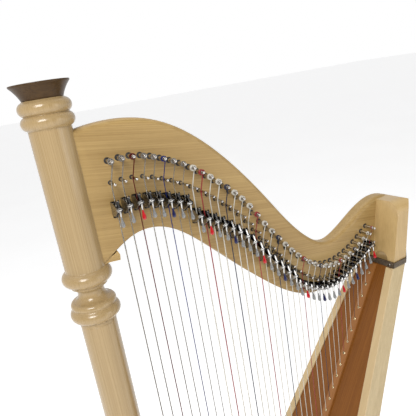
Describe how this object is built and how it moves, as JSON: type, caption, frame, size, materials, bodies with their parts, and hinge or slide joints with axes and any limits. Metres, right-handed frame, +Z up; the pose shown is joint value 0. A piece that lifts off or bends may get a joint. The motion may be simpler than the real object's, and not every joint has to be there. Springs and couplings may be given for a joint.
{
  "type": "lever harp",
  "caption": "Free-standing wooden lever harp: round pillar, curved neck with tuning pins and sharping levers, staved soundbox and a row of strings.",
  "frame": {"origin": "middle of the harp's footprint, on the floor under the feet", "axes": "+X from the pillar towards the soundbox, +Y away from the lever side of the neck, +Z up, along the pillar"},
  "size_m": [0.7317, 0.4424, 1.5],
  "materials": {
    "base_wood": "satin lacquer",
    "foot_rubber": "matte",
    "pillar_maple": "gloss lacquer",
    "cap_wood": "gloss lacquer, stained dark",
    "neck_maple": "satin lacquer",
    "shoulder_maple": "satin lacquer",
    "band_metal": "dark bronze, satin",
    "screw_steel": "polished",
    "box_maple": "satin lacquer",
    "board_wood": "satin lacquer, reddish brown",
    "edging_maple": "satin lacquer",
    "rib_wood": "satin lacquer",
    "inner_wood": "bare",
    "eyelet_brass": "polished",
    "pin_chrome": "polished",
    "frame_steel": "burnished",
    "lever_chrome": "polished",
    "wound_wire": "wound",
    "string_gut": "translucent, semi-matte"
  },
  "bodies": {
    "harp": {"base": "base_wood", "feet": "foot_rubber", "pillar_shaft": "pillar_maple", "pillar_head": "pillar_maple", "pillar_cap": "cap_wood", "neck": "neck_maple", "neck_ledge": "neck_maple", "shoulder": "shoulder_maple", "shoulder_band": "band_metal", "screws": "screw_steel", "soundbox_staves": "box_maple", "soundboard": "board_wood", "board_edging": "edging_maple", "string_rib": "rib_wood", "inner_rib": "inner_wood", "back_braces": "inner_wood", "eyelets": "eyelet_brass", "tuning_pins": "pin_chrome", "bridge_pins": "pin_chrome", "lever_frames": "frame_steel", "strings_wound": "wound_wire", "strings_plain": "string_gut"},
    "lever_01": {"lever_01": "lever_chrome"},
    "lever_02": {"lever_02": "lever_chrome"},
    "lever_03": {"lever_03": "lever_chrome"},
    "lever_04": {"lever_04": "lever_chrome"},
    "lever_05": {"lever_05": "lever_chrome"},
    "lever_06": {"lever_06": "lever_chrome"},
    "lever_07": {"lever_07": "lever_chrome"},
    "lever_08": {"lever_08": "lever_chrome"},
    "lever_09": {"lever_09": "lever_chrome"},
    "lever_10": {"lever_10": "lever_chrome"},
    "lever_11": {"lever_11": "lever_chrome"},
    "lever_12": {"lever_12": "lever_chrome"},
    "lever_13": {"lever_13": "lever_chrome"},
    "lever_14": {"lever_14": "lever_chrome"},
    "lever_15": {"lever_15": "lever_chrome"},
    "lever_16": {"lever_16": "lever_chrome"},
    "lever_17": {"lever_17": "lever_chrome"},
    "lever_18": {"lever_18": "lever_chrome"},
    "lever_19": {"lever_19": "lever_chrome"},
    "lever_20": {"lever_20": "lever_chrome"},
    "lever_21": {"lever_21": "lever_chrome"},
    "lever_22": {"lever_22": "lever_chrome"},
    "lever_23": {"lever_23": "lever_chrome"},
    "lever_24": {"lever_24": "lever_chrome"},
    "lever_25": {"lever_25": "lever_chrome"},
    "lever_26": {"lever_26": "lever_chrome"},
    "lever_27": {"lever_27": "lever_chrome"},
    "lever_28": {"lever_28": "lever_chrome"},
    "lever_29": {"lever_29": "lever_chrome"},
    "lever_30": {"lever_30": "lever_chrome"},
    "lever_31": {"lever_31": "lever_chrome"},
    "lever_32": {"lever_32": "lever_chrome"},
    "lever_33": {"lever_33": "lever_chrome"},
    "lever_34": {"lever_34": "lever_chrome"},
    "lever_35": {"lever_35": "lever_chrome"},
    "lever_36": {"lever_36": "lever_chrome"},
    "lever_37": {"lever_37": "lever_chrome"},
    "lever_38": {"lever_38": "lever_chrome"}
  },
  "joints": [
    {"name": "lever_01_flip", "type": "hinge", "parent": "harp", "child": "lever_01", "pos_m": [-0.241, -0.0223, 1.30122], "axis": [-1, 0, 0], "range_deg": [0, 100]},
    {"name": "lever_02_flip", "type": "hinge", "parent": "harp", "child": "lever_02", "pos_m": [-0.2236, -0.0223, 1.30351], "axis": [-1, 0, 0], "range_deg": [0, 100]},
    {"name": "lever_03_flip", "type": "hinge", "parent": "harp", "child": "lever_03", "pos_m": [-0.2062, -0.0223, 1.30398], "axis": [-1, 0, 0], "range_deg": [0, 100]},
    {"name": "lever_04_flip", "type": "hinge", "parent": "harp", "child": "lever_04", "pos_m": [-0.1888, -0.0223, 1.30229], "axis": [-1, 0, 0], "range_deg": [0, 100]},
    {"name": "lever_05_flip", "type": "hinge", "parent": "harp", "child": "lever_05", "pos_m": [-0.1733, -0.0223, 1.29871], "axis": [-1, 0, 0], "range_deg": [0, 100]},
    {"name": "lever_06_flip", "type": "hinge", "parent": "harp", "child": "lever_06", "pos_m": [-0.1578, -0.0223, 1.29366], "axis": [-1, 0, 0], "range_deg": [0, 100]},
    {"name": "lever_07_flip", "type": "hinge", "parent": "harp", "child": "lever_07", "pos_m": [-0.1423, -0.0223, 1.28794], "axis": [-1, 0, 0], "range_deg": [0, 100]},
    {"name": "lever_08_flip", "type": "hinge", "parent": "harp", "child": "lever_08", "pos_m": [-0.1268, -0.0223, 1.28099], "axis": [-1, 0, 0], "range_deg": [0, 100]},
    {"name": "lever_09_flip", "type": "hinge", "parent": "harp", "child": "lever_09", "pos_m": [-0.1113, -0.0223, 1.25419], "axis": [-1, 0, 0], "range_deg": [0, 100]},
    {"name": "lever_10_flip", "type": "hinge", "parent": "harp", "child": "lever_10", "pos_m": [-0.0974, -0.0223, 1.24578], "axis": [-1, 0, 0], "range_deg": [0, 100]},
    {"name": "lever_11_flip", "type": "hinge", "parent": "harp", "child": "lever_11", "pos_m": [-0.0835, -0.0223, 1.23677], "axis": [-1, 0, 0], "range_deg": [0, 100]},
    {"name": "lever_12_flip", "type": "hinge", "parent": "harp", "child": "lever_12", "pos_m": [-0.0696, -0.0223, 1.22704], "axis": [-1, 0, 0], "range_deg": [0, 100]},
    {"name": "lever_13_flip", "type": "hinge", "parent": "harp", "child": "lever_13", "pos_m": [-0.0557, -0.0223, 1.21642], "axis": [-1, 0, 0], "range_deg": [0, 100]},
    {"name": "lever_14_flip", "type": "hinge", "parent": "harp", "child": "lever_14", "pos_m": [-0.0429, -0.0223, 1.20574], "axis": [-1, 0, 0], "range_deg": [0, 100]},
    {"name": "lever_15_flip", "type": "hinge", "parent": "harp", "child": "lever_15", "pos_m": [-0.0301, -0.0223, 1.19407], "axis": [-1, 0, 0], "range_deg": [0, 100]},
    {"name": "lever_16_flip", "type": "hinge", "parent": "harp", "child": "lever_16", "pos_m": [-0.0173, -0.0223, 1.17949], "axis": [-1, 0, 0], "range_deg": [0, 100]},
    {"name": "lever_17_flip", "type": "hinge", "parent": "harp", "child": "lever_17", "pos_m": [-0.0045, -0.0223, 1.1622], "axis": [-1, 0, 0], "range_deg": [0, 100]},
    {"name": "lever_18_flip", "type": "hinge", "parent": "harp", "child": "lever_18", "pos_m": [0.0083, -0.0223, 1.14449], "axis": [-1, 0, 0], "range_deg": [0, 100]},
    {"name": "lever_19_flip", "type": "hinge", "parent": "harp", "child": "lever_19", "pos_m": [0.0211, -0.0223, 1.12855], "axis": [-1, 0, 0], "range_deg": [0, 100]},
    {"name": "lever_20_flip", "type": "hinge", "parent": "harp", "child": "lever_20", "pos_m": [0.0339, -0.0223, 1.11365], "axis": [-1, 0, 0], "range_deg": [0, 100]},
    {"name": "lever_21_flip", "type": "hinge", "parent": "harp", "child": "lever_21", "pos_m": [0.0467, -0.0223, 1.0991], "axis": [-1, 0, 0], "range_deg": [0, 100]},
    {"name": "lever_22_flip", "type": "hinge", "parent": "harp", "child": "lever_22", "pos_m": [0.0595, -0.0223, 1.08555], "axis": [-1, 0, 0], "range_deg": [0, 100]},
    {"name": "lever_23_flip", "type": "hinge", "parent": "harp", "child": "lever_23", "pos_m": [0.0723, -0.0145, 1.0666], "axis": [-1, 0, 0], "range_deg": [0, 100]},
    {"name": "lever_24_flip", "type": "hinge", "parent": "harp", "child": "lever_24", "pos_m": [0.0851, -0.0145, 1.05654], "axis": [-1, 0, 0], "range_deg": [0, 100]},
    {"name": "lever_25_flip", "type": "hinge", "parent": "harp", "child": "lever_25", "pos_m": [0.0979, -0.0145, 1.04771], "axis": [-1, 0, 0], "range_deg": [0, 100]},
    {"name": "lever_26_flip", "type": "hinge", "parent": "harp", "child": "lever_26", "pos_m": [0.1107, -0.0145, 1.04038], "axis": [-1, 0, 0], "range_deg": [0, 100]},
    {"name": "lever_27_flip", "type": "hinge", "parent": "harp", "child": "lever_27", "pos_m": [0.1235, -0.0145, 1.03492], "axis": [-1, 0, 0], "range_deg": [0, 100]},
    {"name": "lever_28_flip", "type": "hinge", "parent": "harp", "child": "lever_28", "pos_m": [0.1363, -0.0145, 1.03173], "axis": [-1, 0, 0], "range_deg": [0, 100]},
    {"name": "lever_29_flip", "type": "hinge", "parent": "harp", "child": "lever_29", "pos_m": [0.1491, -0.0145, 1.0309], "axis": [-1, 0, 0], "range_deg": [0, 100]},
    {"name": "lever_30_flip", "type": "hinge", "parent": "harp", "child": "lever_30", "pos_m": [0.1619, -0.0145, 1.03209], "axis": [-1, 0, 0], "range_deg": [0, 100]},
    {"name": "lever_31_flip", "type": "hinge", "parent": "harp", "child": "lever_31", "pos_m": [0.1747, -0.0145, 1.03494], "axis": [-1, 0, 0], "range_deg": [0, 100]},
    {"name": "lever_32_flip", "type": "hinge", "parent": "harp", "child": "lever_32", "pos_m": [0.1875, -0.0145, 1.0391], "axis": [-1, 0, 0], "range_deg": [0, 100]},
    {"name": "lever_33_flip", "type": "hinge", "parent": "harp", "child": "lever_33", "pos_m": [0.2003, -0.0145, 1.04386], "axis": [-1, 0, 0], "range_deg": [0, 100]},
    {"name": "lever_34_flip", "type": "hinge", "parent": "harp", "child": "lever_34", "pos_m": [0.2131, -0.0145, 1.04934], "axis": [-1, 0, 0], "range_deg": [0, 100]},
    {"name": "lever_35_flip", "type": "hinge", "parent": "harp", "child": "lever_35", "pos_m": [0.2259, -0.0145, 1.05624], "axis": [-1, 0, 0], "range_deg": [0, 100]},
    {"name": "lever_36_flip", "type": "hinge", "parent": "harp", "child": "lever_36", "pos_m": [0.2387, -0.0145, 1.06405], "axis": [-1, 0, 0], "range_deg": [0, 100]},
    {"name": "lever_37_flip", "type": "hinge", "parent": "harp", "child": "lever_37", "pos_m": [0.2515, -0.0145, 1.0723], "axis": [-1, 0, 0], "range_deg": [0, 100]},
    {"name": "lever_38_flip", "type": "hinge", "parent": "harp", "child": "lever_38", "pos_m": [0.2643, -0.0145, 1.0805], "axis": [-1, 0, 0], "range_deg": [0, 100]}
  ]
}
